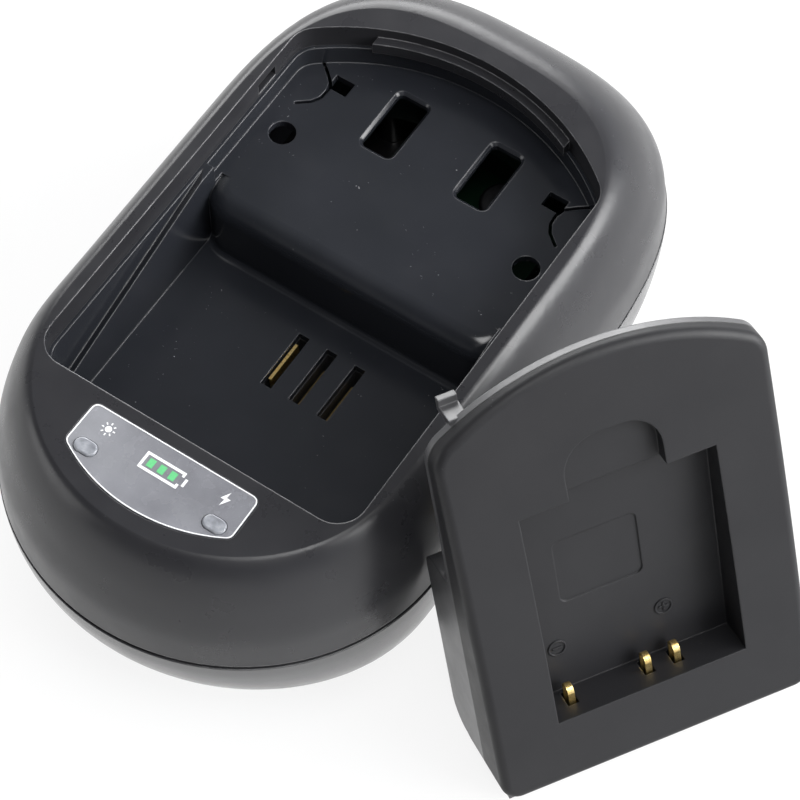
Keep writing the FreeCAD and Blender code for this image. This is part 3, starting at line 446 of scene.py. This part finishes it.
# White ring along the panel's edge: painted highlight of the film's edge, raised in white ink
edge_highlight_ring = (panel_outline(highlight_outer_inset), panel_outline(highlight_inner_inset))
panel_print_and_highlight("panel_edge_painted_highlight", [edge_highlight_ring], highlight_height, white_ink)
ray = rectangle(ray_half_width, (ray_end - ray_start) / 2, (ray_end + ray_start) / 2)
lamp = [(moved(circle(lamp_radius, lamp_steps), lamp_x, icon_y), None)]
for k in range(ray_count):
    lamp.append((moved(ray, lamp_x, icon_y, lamp_size, 2 * math.pi * k / ray_count), None))
panel_print_and_highlight("lamp_icon", lamp, print_height, white_ink)
bolt = [(0.15, 1.3), (-0.75, -0.15), (-0.1, -0.15), (-0.25, -1.3), (0.75, 0.25), (0.05, 0.25)]
panel_print_and_highlight("bolt_icon", [(moved(bolt, bolt_x, icon_y, bolt_size), None)], print_height, white_ink)
panel_print_and_highlight("cell_icon", [(cell_outline(0.0), cell_outline(cell_wall))], print_height, white_ink)
bar = rectangle(bar_half_width, bar_half_height)
bars = [(moved(bar, x, cell_y), None) for x in bar_places]
panel_print_and_highlight("bar_icon", bars, print_height, green_ink)

# Raised pole marks on the pocket's floor, over the contacts, in the plate's millimetres
minus_x, plus_x, mark_y = -12.4, 5.9, 21.5
mark_foot, mark_top = 0.85, 1.08
mark_outer, mark_inner, mark_steps = 1.55, 1.25, 32
mark_bar_reach, mark_bar_half_width = 0.85, 0.16


def pole_mark(name, x, bars):
    """Low ring with one bar or two crossed bars in it."""
    loops = [(moved(circle(mark_outer, mark_steps), x, mark_y),
              moved(circle(mark_inner, mark_steps), x, mark_y))]
    loops += [(moved(bar, x, mark_y), None) for bar in bars]
    raised_piece(name, loops, at_plate, mark_foot, mark_top, plate)


level_bar = rectangle(mark_bar_reach, mark_bar_half_width)
upright_bar = rectangle(mark_bar_half_width, mark_bar_reach)
pole_mark("mark_minus", minus_x, [level_bar])
pole_mark("mark_plus", plus_x, [level_bar, upright_bar])

# Camera at the photograph's view of the base
azimuth, elevation, distance = math.radians(33.6), math.radians(60.3), 0.486
target_x, target_y = 20.4, -22.2
target = at_base(target_x, target_y, shelf_z / MM)
right = Vector((math.cos(azimuth), math.sin(azimuth), 0))
ahead = Vector((-math.sin(azimuth), math.cos(azimuth), 0))
back = ahead * -math.cos(elevation) + Vector((0, 0, math.sin(elevation)))
camera_data = bpy.data.cameras.new("camera")
camera_data.lens = 139.6
camera_data.sensor_width = 36.0
camera_data.clip_start = 0.01
camera = bpy.data.objects.new("camera", camera_data)
camera.location = target + back * distance
camera.rotation_euler = back.to_track_quat("Z", "Y").to_euler()
scene.collection.objects.link(camera)
scene.camera = camera

# Studio
floor_half_span = 6.0
paper_white_share = 0.86
paper_colour = (0.9, 0.9, 0.9, 1)
room_colour = (0.94, 0.96, 1.0, 1)
white = (1, 1, 1, 1)
# The room's light over the height of a ray, and towards its bright side
dim_heights, dim_levels = (0.05, 0.75), (1.0, 0.25)
bright_heading = (right * 0.75 + ahead * 0.65).normalized()
side_reach, side_levels = (-0.8, 0.9), (0.28, 1.15)


def blend_shaders(tree, share, first, second, output):
    """Output of a node tree as a mix of two shaders."""
    blend = tree.nodes.new("ShaderNodeMixShader")
    tree.links.new(share, blend.inputs[0])
    tree.links.new(first.outputs[0], blend.inputs[1])
    tree.links.new(second.outputs[0], blend.inputs[2])
    tree.links.new(blend.outputs[0], tree.nodes[output].inputs["Surface"])


def paper():
    """Pale floor that takes shadows, mostly plain white to the camera, gloss and clear plastic."""
    material = bpy.data.materials.new("paper")
    material.use_nodes = True
    tree = material.node_tree
    cover = tree.nodes["Principled BSDF"]
    cover.inputs["Base Color"].default_value = paper_colour
    cover.inputs["Roughness"].default_value = 0.9
    glow = tree.nodes.new("ShaderNodeEmission")
    glow.inputs["Color"].default_value = white
    rays = tree.nodes.new("ShaderNodeLightPath").outputs
    seen = math_node(tree, "MAXIMUM", rays["Is Camera Ray"], rays["Is Transmission Ray"])
    seen = math_node(tree, "MAXIMUM", seen, rays["Is Glossy Ray"])
    share = math_node(tree, "MULTIPLY", seen, paper_white_share)
    blend_shaders(tree, share, cover, glow, "Material Output")
    return material


def studio_world():
    """White to the camera; a room that dims upwards and to the left front for all other rays."""
    world = bpy.data.worlds.new("studio")
    world.use_nodes = True
    tree = world.node_tree
    room = tree.nodes["Background"]
    room.inputs["Color"].default_value = room_colour
    heading = tree.nodes.new("ShaderNodeTexCoord").outputs["Generated"]
    split = tree.nodes.new("ShaderNodeSeparateXYZ")
    tree.links.new(heading, split.inputs[0])
    dimming = range_node(tree, split.outputs["Z"], *dim_heights, *dim_levels, "SMOOTHSTEP")
    aside = dot_node(tree, heading, bright_heading)
    bright_side = range_node(tree, aside, *side_reach, *side_levels, "SMOOTHSTEP")
    level = math_node(tree, "MULTIPLY", dimming, bright_side)
    tree.links.new(level, room.inputs["Strength"])
    plain = tree.nodes.new("ShaderNodeBackground")
    plain.inputs["Color"].default_value = white
    rays = tree.nodes.new("ShaderNodeLightPath").outputs
    blend_shaders(tree, rays["Is Camera Ray"], room, plain, "World Output")
    return world


floor_mesh = bpy.data.meshes.new("floor")
floor_corners = [(x, y, 0) for x, y in rectangle(floor_half_span, floor_half_span)]
floor_mesh.from_pydata(floor_corners, [], [(0, 1, 2, 3)])
floor_mesh.materials.append(paper())
floor = bpy.data.objects.new("floor", floor_mesh)
scene.collection.objects.link(floor)
scene.world = studio_world()

# Each lamp: metres to the right, ahead and up as the camera sees it, width and height, watts
lamps = {
    "top_box": ((0.1, -0.2, 1.0), (0.45, 0.45), 4.5),
    "left_box": ((-0.9, -0.05, 0.26), (0.6, 0.45), 2.0),
    "right_box": ((0.88, -0.12, 0.5), (0.95, 0.8), 27.0),
    "rear_box": ((-0.12, 0.9, 0.32), (0.9, 0.5), 9.0),
    "front_box": ((0.0, -0.9, 0.9), (0.6, 0.6), 0.6),
}
lamp_aim = Vector((0.0, 0.0, 0.03))
for name, ((aside, onward, up), size, power) in lamps.items():
    data = bpy.data.lights.new(name, "AREA")
    data.shape = "RECTANGLE"
    data.size, data.size_y = size
    data.energy = power
    light = bpy.data.objects.new(name, data)
    light.location = right * aside + ahead * onward + Vector((0, 0, up))
    light.rotation_euler = (light.location - lamp_aim).to_track_quat("Z", "Y").to_euler()
    scene.collection.objects.link(light)

scene.view_settings.view_transform = "Standard"
